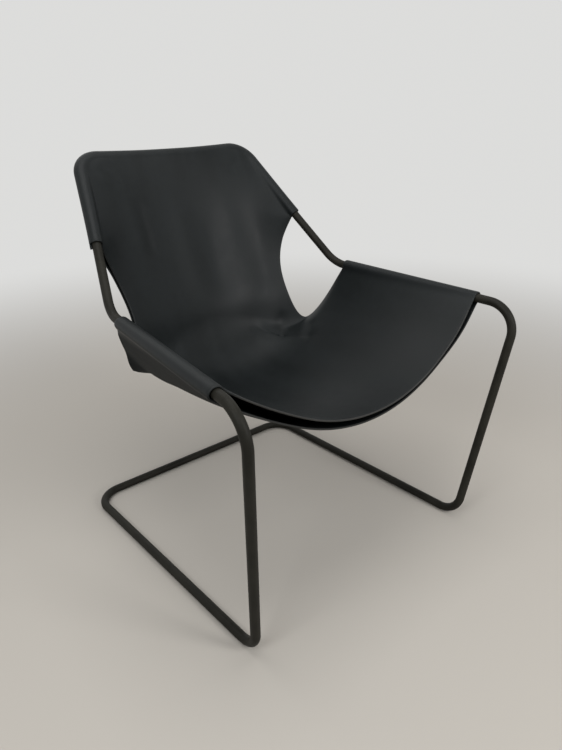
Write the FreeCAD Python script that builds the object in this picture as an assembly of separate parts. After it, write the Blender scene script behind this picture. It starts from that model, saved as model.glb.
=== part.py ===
import FreeCAD, Part
import math
import os

Vector = FreeCAD.Vector

# Sling armchair: one bent round bar and a leather sling of two sheets, in millimetres and degrees.
# +Z is up, the sitter faces -Y, and the origin is on the floor under the middle of the chair.

# Bar: each corner is where the centrelines of two straight runs would meet
bar_diameter = 19.0
top_half_width = 220.0
top_setback = 361.0
top_height = 818.0
top_dip = 12.5
corner_half_width = 313.0
corner_setback = 103.0
corner_height = 550.0
front_half_width = 361.0
front_overhang = 60.0
front_height = 530.0
foot_half_width = 312.0
rear_half_width = 308.0
runner_length = 648.0

# Centreline radii of the bends
top_bend = 50.0
dip_bend = 1750.0
corner_bend = 80.0
front_bend = 61.0
foot_bend = 50.0
rear_bend = 60.0

# Leather
leather_thickness = 3.6
sleeve_clearance = 0.3
seam_gap = 0.4
hood_middle_gap = 9.0
mouth_gap = 3.0
waist_gap = 0.8
front_gap = 12.0
hood_sleeve_length = 220.0
seat_sleeve_start = 40.0
seat_sleeve_length = 364.0
rear_sheet_setback = 15.0
sleeve_pinch = 35.0
under_pinch = 12.0
sleeve_overlap = 7.0
mouth_margin = 2.0

# Depth of the hanging sheet below the bars, and how full it hangs: 2 is a circular arc
hood_middle_share = 0.4
hood_middle_depth = 29.0
hood_depth = 84.5
hood_tilt = 18.0
hood_fullness = 2.0
waist_fullness = 2.0
rear_depth = 226.0
rear_tilt = 85.0
rear_fullness = 2.1
middle_depth = 202.0
middle_tilt = 91.0
front_depth = 141.0
front_tilt = 101.0
front_fullness = 1.65

# Cut edge of the waist: blade and rib are set from the mouth of the upper sleeve, and the rest
# from the back corner of the bar. The sheet hangs from each point by a depth, in a direction
# between 0, to the rear, and 90, straight down
blade_inset = 22.3
blade_behind = 4.0
blade_below = 61.5
blade_depth = 61.0
blade_tilt = 18.0
rib_inset = 38.8
rib_behind = 5.8
rib_below = 89.5
rib_depth = 51.0
rib_tilt = 18.0
waist_half_width = 221.0
waist_behind = 79.0
waist_below = 74.5
waist_depth = 47.0
waist_tilt = 21.0
hip_half_width = 252.5
hip_behind = 41.5
hip_below = 141.0
hip_depth = 69.0
hip_tilt = 52.0
flank_half_width = 271.0
flank_behind = 25.5
flank_below = 124.0
flank_depth = 98.0
flank_tilt = 75.0

bar_radius = bar_diameter / 2
sleeve_radius = bar_radius + sleeve_clearance
sheet_radius = sleeve_radius + leather_thickness / 2

# Corner points of the right half of the bar
top_corner = Vector(top_half_width, top_setback, top_height)
back_corner = Vector(corner_half_width, corner_setback, corner_height)
front_corner = Vector(front_half_width, -runner_length / 2 - front_overhang, front_height)
foot_corner = Vector(foot_half_width, -runner_length / 2, bar_radius)
rear_corner = Vector(rear_half_width, runner_length / 2, bar_radius)

# Axes of the plane of the back: down its slope, and square to it towards the sitter
across = Vector(1, 0, 0)
top_middle = Vector(0, top_setback, top_height)
corner_middle = Vector(0, corner_setback, corner_height)
down_slope = (corner_middle - top_middle).normalize()
forward = down_slope.cross(across)


def mirrored(point):
    """The same point on the other side of the chair."""
    return Vector(-point.x, point.y, point.z)


def bend(before, corner, after, radius):
    """Tangent arc that rounds a corner: its ends, middle, centre, axis and turn."""
    towards_before = (before - corner).normalize()
    towards_after = (after - corner).normalize()
    half_angle = towards_before.getAngle(towards_after) / 2
    middle_line = (towards_before + towards_after).normalize()
    reach = radius / math.tan(half_angle)
    centre = corner + middle_line * (radius / math.sin(half_angle))
    return {
        "start": corner + towards_before * reach,
        "end": corner + towards_after * reach,
        "middle": centre - middle_line * radius,
        "centre": centre,
        "axis": towards_after.cross(towards_before).normalize(),
        "turn": math.degrees(math.pi - 2 * half_angle),
    }


def round_bar(start, end):
    """Straight run of the bar."""
    return Part.makeCylinder(bar_radius, (end - start).Length, start, end - start)


def bent_bar(arc):
    """Bent stretch of the bar: its round section turned about the bend's axis."""
    direction = arc["axis"].cross(arc["start"] - arc["centre"])
    section = Part.Face(Part.Wire(Part.makeCircle(bar_radius, arc["start"], direction)))
    return section.revolve(arc["centre"], arc["axis"], arc["turn"])


# Bar
top_dip_corner = top_middle + down_slope * top_dip
half_loop = [
    (top_corner, top_bend),
    (back_corner, corner_bend),
    (front_corner, front_bend),
    (foot_corner, foot_bend),
    (rear_corner, rear_bend),
]
loop = [(top_dip_corner, dip_bend)] + half_loop
loop += [(mirrored(point), radius) for point, radius in reversed(half_loop)]
bends = []
for place, (corner, radius) in enumerate(loop):
    before = loop[place - 1][0]
    after = loop[(place + 1) % len(loop)][0]
    bends.append(bend(before, corner, after, radius))
stretches = []
for place, arc in enumerate(bends):
    stretches.append(round_bar(bends[place - 1]["end"], arc["start"]))
    stretches.append(bent_bar(arc))
frame_bar = stretches[0].multiFuse(stretches[1:]).removeSplitter()


def sector(centre, outward, upward, last_angle):
    """Outline of the sleeve wall from the seam, outermost on the bar, round to the last angle."""
    first_angle = math.copysign(math.degrees(seam_gap / 2 / sleeve_radius), last_angle)

    def at(radius, share):
        angle = math.radians(first_angle + (last_angle - first_angle) * share)
        return centre + outward * (radius * math.cos(angle)) + upward * (radius * math.sin(angle))

    inner = sleeve_radius
    outer = sleeve_radius + leather_thickness
    edges = [
        Part.Arc(at(inner, 0), at(inner, 0.5), at(inner, 1)).toShape(),
        Part.LineSegment(at(inner, 1), at(outer, 1)).toShape(),
        Part.Arc(at(outer, 1), at(outer, 0.5), at(outer, 0)).toShape(),
        Part.LineSegment(at(outer, 0), at(inner, 0)).toShape(),
    ]
    return Part.Wire(edges)


# Places on the right half of the bar that the sling uses
dip = bends[0]
right_top = bends[1]
left_top = bends[-1]
up_right = (top_corner - back_corner).normalize()
upright_outward = up_right.cross(forward)
right_mouth = top_corner - up_right * hood_sleeve_length
rail_way = (front_corner - back_corner).normalize()
rail_outward = (across - rail_way * across.dot(rail_way)).normalize()
rail_upward = rail_way.cross(rail_outward)
rail_start = back_corner + rail_way * seat_sleeve_start


def hang(start, slope, depth):
    """Right half of a hanging section as two tangent arcs, in (across, depth) coordinates.

    Returns points and directions at the start, the middle of the first arc, the joint of the
    arcs and the middle of the section, where it runs level."""
    first = Vector(start, 0, 0)
    last = Vector(0, depth, 0)
    leaving = Vector(-math.cos(slope), math.sin(slope), 0)
    level = Vector(-1, 0, 0)
    span = last - first
    bend_term = 2 * (1 - leaving.dot(level))
    reach_term = 2 * span.dot(leaving + level)
    root = math.sqrt(reach_term ** 2 + 4 * bend_term * span.dot(span))
    reach = (root - reach_term) / (2 * bend_term)
    before = first + leaving * reach
    after = last - level * reach
    joint = (before + after) * 0.5
    passing = (after - before).normalize()
    chord = joint - first
    turn = leaving.getAngle(passing)
    bulge = (leaving - passing).normalize() * (chord.Length / 2 * math.tan(turn / 4))
    points = [first, first + chord * 0.5 + bulge, joint, last]
    ways = [leaving, chord.normalize(), passing, level]
    return list(zip(points, ways))


def level_with(point):
    """The point of the middle plane at the same depth and height."""
    return Vector(0, point.y, point.z)


def hung_section(edge, centre, fullness, sag=None):
    """Section between an edge point and its mirror, through a point of the centre line.

    It is seven points of the middle of the sheet with their directions. Where a direction of
    sag is given, the rest of the way to the centre line is a slide along the sheet."""
    origin = level_with(edge)
    reach = centre - origin
    sag = sag or Vector(reach).normalize()
    depth = reach.dot(sag)
    slide = reach - sag * depth
    half = hang(edge.x, fullness * math.atan2(depth, edge.x), depth)
    section = []
    for side, row in ((1, half), (-1, half[-2::-1])):
        for point, way in row:
            spot = origin + across * (side * point.x) + sag * point.y
            spot += slide * (1 - (point.x / edge.x) ** 2)
            section.append((spot, across * way.x + sag * (side * way.y)))
    return section


def with_normals(sections):
    """Each section's points with the normals of the sheet, towards the sitter."""
    result = []
    for place, section in enumerate(sections):
        before = sections[max(place - 1, 0)]
        after = sections[min(place + 1, len(sections) - 1)]
        row = []
        for k, (spot, way) in enumerate(section):
            row.append((spot, way.cross(after[k][0] - before[k][0]).normalize()))
        result.append(row)
    return result


def section_wire(section):
    """Closed outline of the leather about a section of its middle."""
    half = leather_thickness / 2
    upper = [spot + normal * half for spot, normal in section]
    lower = [spot - normal * half for spot, normal in section]
    edges = [Part.Arc(*upper[k:k + 3]).toShape() for k in (0, 2, 4)]
    edges.append(Part.LineSegment(upper[6], lower[6]).toShape())
    edges += [Part.Arc(lower[k + 2], lower[k + 1], lower[k]).toShape() for k in (4, 2, 0)]
    edges.append(Part.LineSegment(lower[0], upper[0]).toShape())
    return Part.Wire(edges)


def below(spot, depth, tilt):
    """Point of the centre line: a depth from the level of a point, in a tilted direction."""
    angle = math.radians(tilt)
    return Vector(0, spot.y + depth * math.cos(angle), spot.z - depth * math.sin(angle))


def wall_point(centre, outward, upward, angle):
    """Point in the middle of a sleeve wall, at an angle from its seam."""
    turn = math.radians(angle)
    return centre + outward * (sheet_radius * math.cos(turn)) + upward * (sheet_radius * math.sin(turn))


def leaving_angle(bar, upward, centre, fullness, side, pinch):
    """Angle round the bar, from the seam, at which a hanging section leaves the sleeve."""
    depth = (level_with(bar) - centre).dot(upward)
    slope = fullness * math.degrees(math.atan2(depth + side * sheet_radius, bar.x))
    return slope + side * (90 + pinch)


def spline(points, parameters):
    """Smooth line through points."""
    line = Part.BSplineCurve()
    line.interpolate(Points=points, Parameters=parameters)
    return line


def top_section(wall_angle):
    """Section in the sleeve wall along the top rail, which dips in its middle."""
    straight = right_top["start"] - dip["end"]
    half = []
    for share in (1, 0.5, 0):
        half.append(dip["end"] + straight * share)
    half.append(dip["middle"])
    rail = half + [mirrored(point) for point in half[-2::-1]]
    return [(wall_point(point, -down_slope, forward, wall_angle), -across) for point in rail]


# Points of the waist's cut edge, and the line down the middle of the front sheet
waist_points = [
    right_mouth + Vector(-blade_inset, blade_behind, -blade_below),
    right_mouth + Vector(-rib_inset, rib_behind, -rib_below),
    Vector(waist_half_width, corner_setback + waist_behind, corner_height - waist_below),
    Vector(hip_half_width, corner_setback + hip_behind, corner_height - hip_below),
    Vector(flank_half_width, corner_setback + flank_behind, corner_height - flank_below),
]
waist_hangs = [
    (blade_depth, blade_tilt),
    (rib_depth, rib_tilt),
    (waist_depth, waist_tilt),
    (hip_depth, hip_tilt),
    (flank_depth, flank_tilt),
]
rail_middle = rail_start + rail_way * (seat_sleeve_length / 2)
rail_end = rail_start + rail_way * seat_sleeve_length
top_angle = 90 + sleeve_pinch
front_points = [wall_point(dip["middle"], -down_slope, forward, top_angle)]
hood_middle = top_corner + (right_mouth - top_corner) * hood_middle_share
front_points.append(level_with(hood_middle) - forward * hood_middle_depth)
front_points.append(below(right_mouth, hood_depth, hood_tilt))
front_points += [below(spot, *hanging) for spot, hanging in zip(waist_points, waist_hangs)]
front_points.append(below(rail_start, rear_depth, rear_tilt))
front_points.append(below(rail_middle, middle_depth, middle_tilt))
front_points.append(below(rail_end, front_depth, front_tilt))
marks = [0.0]
for before, after in zip(front_points, front_points[1:]):
    marks.append(marks[-1] + (after - before).Length)
front_line = spline(front_points, marks)
mouth_mark = marks[2]
rear_mark = marks[-3]
front_mark = marks[-1]

# Line down the middle of the rear sheet, behind the front sheet by the leather and a gap
seat_middle_gap = (waist_gap + front_gap) / 2
gaps = [hood_middle_gap, mouth_gap] + [waist_gap] * (len(waist_points) + 1) + [seat_middle_gap, front_gap]
rear_points = [wall_point(dip["middle"], -down_slope, forward, -top_angle)]
for point, mark, gap in zip(front_points[1:], marks[1:], gaps):
    way = Vector(*front_line.tangent(mark)[0])
    rear_points.append(point + across.cross(way) * (leather_thickness + gap))
rear_line = spline(rear_points, marks)

upright_shares = (0, 0.5, 1)
rail_shares = (0, 0.25, 0.5, 0.75, 1)


def hood_mark(bar):
    """Place on the centre line that goes with a point of the bar in the hood."""
    whole = (right_mouth - right_top["start"]).dot(down_slope)
    return mouth_mark * (bar - right_top["start"]).dot(down_slope) / whole


def upright_stations(line, side):
    """Bar point, centre mark, fullness and leaving angle of sections down the uprights."""
    stations = []
    for share in upright_shares:
        bar = right_top["end"] + (right_mouth - right_top["end"]) * share
        mark = hood_mark(bar)
        angle = leaving_angle(bar, forward, line.value(mark), hood_fullness, side, sleeve_pinch)
        stations.append((bar, mark, hood_fullness, angle))
    return stations


def rail_stations(line, side):
    """Bar point, centre mark, fullness and leaving angle of sections along the seat rails."""
    setback = rear_sheet_setback if side < 0 else 0
    pinch = under_pinch if side < 0 else sleeve_pinch
    stations = []
    for share in rail_shares:
        bar = rail_start + rail_way * ((seat_sleeve_length - setback) * share)
        mark = rear_mark + (front_mark - setback - rear_mark) * share
        fullness = rear_fullness + (front_fullness - rear_fullness) * share
        angle = leaving_angle(bar, rail_upward, line.value(mark), fullness, side, pinch)
        stations.append((bar, mark, fullness, angle))
    return stations


def hood_sections(line, side):
    """Sections along the top rail, round its bend and down the uprights to the mouth."""
    sections = [top_section(side * top_angle)]
    for share in (0.35, 0.7):
        turn = FreeCAD.Rotation(right_top["axis"], right_top["turn"] * share)
        spoke = turn.multVec(right_top["start"] - right_top["centre"])
        bar = right_top["centre"] + spoke
        edge = wall_point(bar, spoke.normalize(), forward, side * top_angle)
        sections.append(hung_section(edge, line.value(hood_mark(bar)), hood_fullness, -forward))
    for bar, mark, fullness, angle in upright_stations(line, side):
        edge = wall_point(bar, upright_outward, forward, angle)
        sections.append(hung_section(edge, line.value(mark), fullness, -forward))
    return sections


def waist_sections(mouth_edge, rear_edge):
    """Sections of the front sheet between the mouths of the upper and the seat sleeves."""
    cut_line = spline([mouth_edge] + waist_points + [rear_edge], marks[2:-2])
    sections = []
    for before, after in zip(marks[2:-2], marks[3:-2]):
        for mark in ((before + after) / 2, after):
            sections.append(hung_section(cut_line.value(mark), front_line.value(mark), waist_fullness))
    return sections[:-1]


def seat_sections(line, side):
    """Sections along the seat rails."""
    sections = []
    for bar, mark, fullness, angle in rail_stations(line, side):
        edge = wall_point(bar, rail_outward, rail_upward, angle)
        sections.append(hung_section(edge, line.value(mark), fullness))
    return sections


def sleeve_walls(line, side):
    """Sleeve walls of a sheet, from the seam round the bar and a little past where it leaves."""
    walls = []
    for stations, outward, upward, way in (
        (upright_stations(line, side), upright_outward, forward, -up_right),
        (rail_stations(line, side), rail_outward, rail_upward, rail_way),
    ):
        rims = []
        for place, (bar, mark, fullness, angle) in enumerate(stations):
            past = mouth_margin if place == len(stations) - 1 else 0
            rims.append(sector(bar + way * past, outward, upward, angle + side * sleeve_overlap))
        wall = Part.makeLoft(rims, True, True)
        walls += [wall, wall.mirror(Vector(0, 0, 0), across)]
    last_angle = side * (top_angle + sleeve_overlap)
    for start, end in ((right_top["start"], dip["end"]), (dip["start"], left_top["end"])):
        rim = sector(start, (end - start).normalize().cross(forward), forward, last_angle)
        walls.append(Part.Face(rim).extrude(end - start))
    for arc, inside in ((right_top, 1), (left_top, 1), (dip, -1)):
        outward = (arc["start"] - arc["centre"]).normalize() * inside
        rim = sector(arc["start"], outward, forward, last_angle)
        walls.append(Part.Face(rim).revolve(arc["centre"], arc["axis"], arc["turn"]))
    return walls


def sheet(hood, waist, seat, walls):
    """One leather sheet: the hanging part lofted through its sections, and its sleeve walls."""
    wires = [section_wire(section) for section in hood + waist + seat]
    faces = Part.makeLoft(wires, False, True).Faces
    for wire in (wires[0], wires[-1]):
        for upper, lower in zip(wire.Edges[0:3], wire.Edges[6:3:-1]):
            faces.append(Part.makeRuledSurface(upper, lower))
    skin = Part.Shell(faces)
    skin.sewShape()
    return Part.Solid(skin).multiFuse(walls).removeSplitter()


def split(sections):
    """The sections of the hood, the waist and the seat."""
    hood_end = len(front_hood)
    waist_end = hood_end + len(front_waist)
    return sections[:hood_end], sections[hood_end:waist_end], sections[waist_end:]


# Front sheet
front_hood = hood_sections(front_line, 1)
front_seat = seat_sections(front_line, 1)
front_waist = waist_sections(front_hood[-1][0][0], front_seat[0][0][0])
front_sections = with_normals(front_hood + front_waist + front_seat)
front_parts = split(front_sections)
front_sheet = sheet(*front_parts, sleeve_walls(front_line, 1))

# Rear sheet: at the waist it lies against the front sheet
rear_hood = hood_sections(rear_line, -1)
rear_seat = seat_sections(rear_line, -1)
rear_waist = []
for place, section in enumerate(front_waist):
    backed = zip(section, front_sections[len(front_hood) + place])
    lift = leather_thickness + waist_gap
    rear_waist.append([(spot - normal * lift, way) for (spot, way), (spot, normal) in backed])
rear_parts = split(with_normals(rear_hood + rear_waist + rear_seat))
rear_sheet = sheet(*rear_parts, sleeve_walls(rear_line, -1))

pieces = {
    "frame_bar": frame_bar,
    "sling_front_sheet": front_sheet,
    "sling_rear_sheet": rear_sheet,
}

# The box round the whole chair is centred over the origin
box = Part.makeCompound(list(pieces.values())).optimalBoundingBox()
os.makedirs("parts", exist_ok=True)
for name, piece in pieces.items():
    solid = piece.Solids[0]
    solid.translate(Vector(0, -box.Center.y, 0))
    solid.exportStep("parts/" + name + ".step")
    print(name, len(piece.Solids), solid.isValid(), round(solid.Volume), solid.optimalBoundingBox())
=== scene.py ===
import math

import bpy
import numpy as np
from mathutils import Matrix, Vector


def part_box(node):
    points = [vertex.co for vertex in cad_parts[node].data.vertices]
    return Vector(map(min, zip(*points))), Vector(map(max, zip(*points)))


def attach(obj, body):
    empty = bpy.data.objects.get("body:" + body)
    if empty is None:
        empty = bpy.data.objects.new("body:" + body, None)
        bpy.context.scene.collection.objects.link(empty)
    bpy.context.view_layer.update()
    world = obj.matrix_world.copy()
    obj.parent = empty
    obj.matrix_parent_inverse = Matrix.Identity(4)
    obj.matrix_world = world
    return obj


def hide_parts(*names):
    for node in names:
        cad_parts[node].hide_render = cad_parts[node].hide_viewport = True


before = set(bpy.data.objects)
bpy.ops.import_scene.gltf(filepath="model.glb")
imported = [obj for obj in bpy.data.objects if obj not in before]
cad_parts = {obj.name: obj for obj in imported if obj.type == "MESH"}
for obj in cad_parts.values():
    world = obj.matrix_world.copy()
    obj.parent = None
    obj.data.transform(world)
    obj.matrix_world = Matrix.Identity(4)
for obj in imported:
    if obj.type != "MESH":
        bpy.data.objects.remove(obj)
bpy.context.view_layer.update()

# Round steel bar, in metres. Each corner is where two straight runs would meet, right side only.
steelBar = {
    "diameter": 0.019,
    "topCorner": (0.220, 0.361, 0.818),
    "topDip": 0.0125,
    "backCorner": (0.313, 0.103, 0.550),
    "frontCorner": (0.361, -0.384, 0.530),
    "footCorner": (0.312, -0.324, 0.0095),
    "rearCorner": (0.308, 0.324, 0.0095),
    "topBend": 0.050,
    "dipBend": 1.750,
    "cornerBend": 0.080,
    "frontBend": 0.061,
    "footBend": 0.050,
    "rearBend": 0.060,
    "sides": 44,
    "stepsPerBend": 28,
}

# Leather of the sling, in metres and degrees. A pinch is how far past its side the leather clings to the
# bar, a gap is what is left between the two sheets, and a reach or a run is how far a change is spread.
sling = {
    "thickness": 0.0036,
    "clearance": 0.0004,
    "seamGap": 0.0001,
    "hoodSleeve": 0.220,
    "seatSleeveStart": 0.040,
    "seatSleeve": 0.364,
    "rearSetback": 0.015,
    "topPinch": 30.0,
    "hoodPinch": 58.0,
    "seatPinch": 38.0,
    "underPinch": 12.0,
    "hoodMiddleGap": 0.009,
    "mouthGap": 0.003,
    "waistGap": 0.0024,
    "frontGap": 0.012,
    "hoodMiddleShare": 0.4,
    "hoodMiddleDepth": 0.029,
    "hoodDepth": 0.0845,
    "hoodTilt": 18.0,
    "hoodFullness": (2.0, 3.0),
    "waistFullness": 2.1,
    "fullRun": 0.12,
    "seatFullness": (2.1, 1.65),
    "seatDepths": (0.226, 0.202, 0.141),
    "seatTilts": (85.0, 91.0, 101.0),
    "topRun": 0.09,
    "sagRun": 0.08,
    "rearHoodRun": 0.07,
    "rearSeatRun": 0.03,
    "drawnRun": 0.09,
    "drawnReach": 0.15,
    "mouthReach": 0.085,
    "flankReach": 0.130,
    "seatReach": 0.070,
    "reachGrowth": 1.3,
    "seamSwell": {"top": 0.0072, "bend": 0.0046, "mouth": 0.0008, "seat": 0.0026},
    "rearFlap": 0.013,
    "flapRun": 0.06,
    "softLine": 0.006,
    "softTurns": 8,
    "flankColumns": 26,
    "flankSoft": 0.024,
    "flankTurns": 60,
    "rowStep": 0.0055,
    "extraWaistRows": 20,
    "columns": 66,
    "wrapColumns": 13,
    "rimRun": 0.02,
    "sharpAngle": 50.0,
}

# Cut edge of the waist: places from the upper mouth or the back corner of the bar, and the depth
# and tilt of the sheet that hangs between the two edges there
waistCut = [
    {"from": "mouth", "by": (-0.0320, 0.0110, -0.0615), "depth": 0.055, "tilt": 18.0},
    {"from": "mouth", "by": (-0.0415, 0.0085, -0.0895), "depth": 0.049, "tilt": 18.0},
    {"from": "corner", "by": (-0.0920, 0.0790, -0.0745), "depth": 0.047, "tilt": 21.0},
    {"from": "corner", "by": (-0.0605, 0.0415, -0.1410), "depth": 0.069, "tilt": 52.0},
    {"from": "corner", "by": (-0.0420, 0.0255, -0.1240), "depth": 0.098, "tilt": 75.0},
]

# Distances from a cut edge of the lines that round it
rimOffsets = np.array([0.0, 0.0004, 0.0010, 0.0020])
across = np.array([1.0, 0.0, 0.0])
flip = np.array([-1.0, 1.0, 1.0])
towardsSitter = np.array([0.0, -0.6, 0.8])

# Accuracy of the working, in metres: when points count as one, the decimals that they are welded to, and
# small values that change nothing seen
samePoint = 1e-7
weldDigits = 8
smallStep = 1e-4
leastReach = 1e-6
notZero = 1e-9


def unit(vectors):
    return vectors / np.linalg.norm(vectors, axis=-1, keepdims=True)


def ease(share):
    # 0 to 1 with level ends
    share = np.clip(share, 0, 1)
    return share * share * (3 - 2 * share)


def splineThrough(points, marks):
    # smooth cubic through points at given marks, with end slopes of the cubic through four end points
    marks = np.asarray(marks)
    points = np.asarray(points)
    count = len(marks)
    gaps = np.diff(marks)
    system = np.zeros((count, count))
    target = np.zeros((count, 3))
    for end, near in ((0, slice(0, 4)), (count - 1, slice(count - 4, count))):
        system[end, end] = 1
        target[end] = np.polyfit(marks[near] - marks[end], points[near], 3)[2]
    steps = np.diff(points, axis=0) / gaps[:, None]
    for k in range(1, count - 1):
        system[k, k - 1:k + 2] = gaps[k], 2 * (gaps[k - 1] + gaps[k]), gaps[k - 1]
        target[k] = 3 * (gaps[k] * steps[k - 1] + gaps[k - 1] * steps[k])
    slopes = np.linalg.solve(system, target)

    def at(mark):
        mark = np.asarray(mark, float)
        k = np.clip(np.searchsorted(marks, mark) - 1, 0, count - 2)
        gap = gaps[k][..., None]
        t = (mark - marks[k])[..., None] / gap
        return (
            points[k] * (1 + 2 * t) * (1 - t) ** 2
            + slopes[k] * gap * t * (1 - t) ** 2
            + points[k + 1] * t * t * (3 - 2 * t)
            + slopes[k + 1] * gap * t * t * (t - 1)
        )

    return at


# Bar: straight runs joined by tangent arcs

topCorner = np.array(steelBar["topCorner"])
backCorner = np.array(steelBar["backCorner"])
frontCorner = np.array(steelBar["frontCorner"])
barRadius = steelBar["diameter"] / 2
downSlope = unit((backCorner - topCorner) * (0, 1, 1))
forward = np.cross(downSlope, across)
topMiddle = topCorner * (0, 1, 1)


def barBend(before, corner, after, radius):
    # tangent arc at a corner: centre, spoke to its start, axis and turn
    toBefore = unit(before - corner)
    toAfter = unit(after - corner)
    half = math.acos(toBefore @ toAfter) / 2
    centre = corner + unit(toBefore + toAfter) * (radius / math.sin(half))
    start = corner + toBefore * (radius / math.tan(half))
    return {"centre": centre, "spoke": start - centre, "axis": unit(np.cross(toAfter, toBefore)),
            "turn": math.pi - 2 * half, "radius": radius}


def turned(vector, axis, angles):
    # the vector turned about an axis by each of some angles
    c = np.cos(angles)[..., None]
    s = np.sin(angles)[..., None]
    return vector * c + np.cross(axis, vector) * s + axis * (axis @ vector) * (1 - c)


def barBends():
    # the bends of the closed loop, from the middle of the top rail round by the right side
    half = [(topCorner, "topBend"), (backCorner, "cornerBend"), (frontCorner, "frontBend"),
            (np.array(steelBar["footCorner"]), "footBend"), (np.array(steelBar["rearCorner"]), "rearBend")]
    loop = [(topMiddle + downSlope * steelBar["topDip"], "dipBend")] + half
    loop += [(corner * flip, name) for corner, name in reversed(half)]
    corners = [corner for corner, name in loop]
    return [barBend(corners[k - 1], corners[k], corners[(k + 1) % len(loop)], steelBar[loop[k][1]])
            for k in range(len(loop))]


bends = barBends()


def barSurface():
    # a circle carried along the loop: its frame turns with each bend, and the twist that is left
    # when the loop closes is spread evenly over the length
    centres, sides = [], []
    side = bends[0]["axis"]
    for arc in bends:
        angles = np.linspace(0, arc["turn"], steelBar["stepsPerBend"])
        centres.append(arc["centre"] + turned(arc["spoke"], arc["axis"], angles))
        sides.append(turned(side, arc["axis"], angles))
        side = sides[-1][-1]
    centres = np.concatenate(centres)
    sides = np.concatenate(sides)
    steps = np.linalg.norm(np.roll(centres, -1, axis=0) - centres, axis=1)
    along = np.concatenate([[0], np.cumsum(steps)])
    way = unit(np.cross(bends[0]["axis"], bends[0]["spoke"]))
    twist = math.atan2(np.cross(side, sides[0]) @ way, side @ sides[0])
    ways = unit(np.roll(centres, -1, axis=0) - np.roll(centres, 1, axis=0))
    sides = unit(sides - ways * (sides * ways).sum(1, keepdims=True))
    others = np.cross(ways, sides)
    angles = np.linspace(0, 2 * math.pi, steelBar["sides"], endpoint=False)
    angles = angles[None, :] + (twist * along[:-1] / along[-1])[:, None]
    rings = centres[:, None] + barRadius * (np.cos(angles)[..., None] * sides[:, None]
                                            + np.sin(angles)[..., None] * others[:, None])
    rows, columns = angles.shape
    numbers = np.arange(rows * columns).reshape(rows, columns)
    nextRow = np.roll(numbers, -1, axis=0)
    quads = np.stack([numbers, np.roll(numbers, -1, 1), np.roll(nextRow, -1, 1), nextRow], -1)
    return rings.reshape(-1, 3), quads.reshape(-1, 4)


# Sling: places on the bar that it uses

sheetRadius = barRadius + sling["clearance"] + sling["thickness"] / 2
dipArc, topArc = bends[0], bends[1]
topStart = topArc["centre"] + topArc["spoke"]
topEnd = topArc["centre"] + turned(topArc["spoke"], topArc["axis"], np.array(topArc["turn"]))
upRight = unit(topCorner - backCorner)
rightMouth = topCorner - upRight * sling["hoodSleeve"]
railWay = unit(frontCorner - backCorner)
railOutward = unit(across - railWay * (across @ railWay))
railUpward = np.cross(railWay, railOutward)
railStart = backCorner + railWay * sling["seatSleeveStart"]
topAngle = 90 + sling["topPinch"]
uprightAngle = 90 + sling["hoodPinch"]


def level(points):
    # the points of the middle plane at the same depth and height
    return points * (0, 1, 1)


def wallPoint(centres, outward, upward, angles, swell=0):
    # middle of the sleeve wall at an angle from its seam, in degrees; it swells out towards the seam
    turn = np.radians(angles)[..., None]
    radius = sheetRadius + swell * np.maximum(np.cos(turn), 0) ** 2
    return centres + radius * (outward * np.cos(turn) + upward * np.sin(turn))


def below(point, depth, tilt):
    # point of the middle plane that lies behind and below another by a depth, at a tilt from level
    angle = math.radians(tilt)
    return np.array([0, point[1] + depth * math.cos(angle), point[2] - depth * math.sin(angle)])


def dipPoints(halfShares):
    # points of the top rail from its bend, at 1, to its middle, at 0: straight, then the wide dip arc
    dipEnd = dipArc["centre"] + turned(dipArc["spoke"], dipArc["axis"], np.array(dipArc["turn"]))
    straight = np.linalg.norm(topStart - dipEnd)
    curved = dipArc["radius"] * dipArc["turn"] / 2
    distance = halfShares * (straight + curved)
    arcShare = np.clip(distance / curved, 0, 1)
    onArc = dipArc["centre"] + turned(dipArc["spoke"], dipArc["axis"], dipArc["turn"] * (1 + arcShare) / 2)
    return onArc + unit(topStart - dipEnd) * np.maximum(distance - curved, 0)[:, None]


waistStarts = {"mouth": rightMouth, "corner": backCorner}
waistPoints = np.array([waistStarts[p["from"]] + p["by"] for p in waistCut])


def centrePoints():
    # line down the middle of the front sheet: top wall, hood, mouth, waist and seat
    railPlaces = [railStart + railWay * (sling["seatSleeve"] * share) for share in (0, 0.5, 1)]
    hoodMiddle = topCorner + (rightMouth - topCorner) * sling["hoodMiddleShare"]
    points = [wallPoint(dipPoints(np.zeros(1))[0], -downSlope, forward, np.array(topAngle))]
    points.append(level(hoodMiddle) - forward * sling["hoodMiddleDepth"])
    points.append(below(rightMouth, sling["hoodDepth"], sling["hoodTilt"]))
    points += [below(spot, p["depth"], p["tilt"]) for spot, p in zip(waistPoints, waistCut)]
    points += [below(*place) for place in zip(railPlaces, sling["seatDepths"], sling["seatTilts"])]
    return np.array(points)


frontPoints = centrePoints()
marks = np.concatenate([[0], np.cumsum(np.linalg.norm(np.diff(frontPoints, axis=0), axis=1))])
frontLine = splineThrough(frontPoints, marks)
# marks of the mouth, the last point of the waist, the rear of the seat sleeve and the front edge
mouthMark, flankMark, rearMark, frontMark = marks[2], marks[7], marks[-3], marks[-1]


def rearCentreLine():
    # behind the front sheet by the leather and a gap that opens again under the seat
    seatGap = (sling["waistGap"] + sling["frontGap"]) / 2
    gaps = [sling["hoodMiddleGap"], sling["mouthGap"]] + [sling["waistGap"]] * (len(waistCut) + 1)
    gaps += [seatGap, sling["frontGap"]]
    ways = unit(frontLine(marks[1:] + smallStep) - frontLine(marks[1:] - smallStep))
    lifts = sling["thickness"] + np.array(gaps)
    behind = frontPoints[1:] + np.cross(across, ways) * lifts[:, None]
    top = wallPoint(dipPoints(np.zeros(1))[0], -downSlope, forward, np.array(-topAngle))
    return splineThrough(np.concatenate([[top], behind]), marks)


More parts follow.
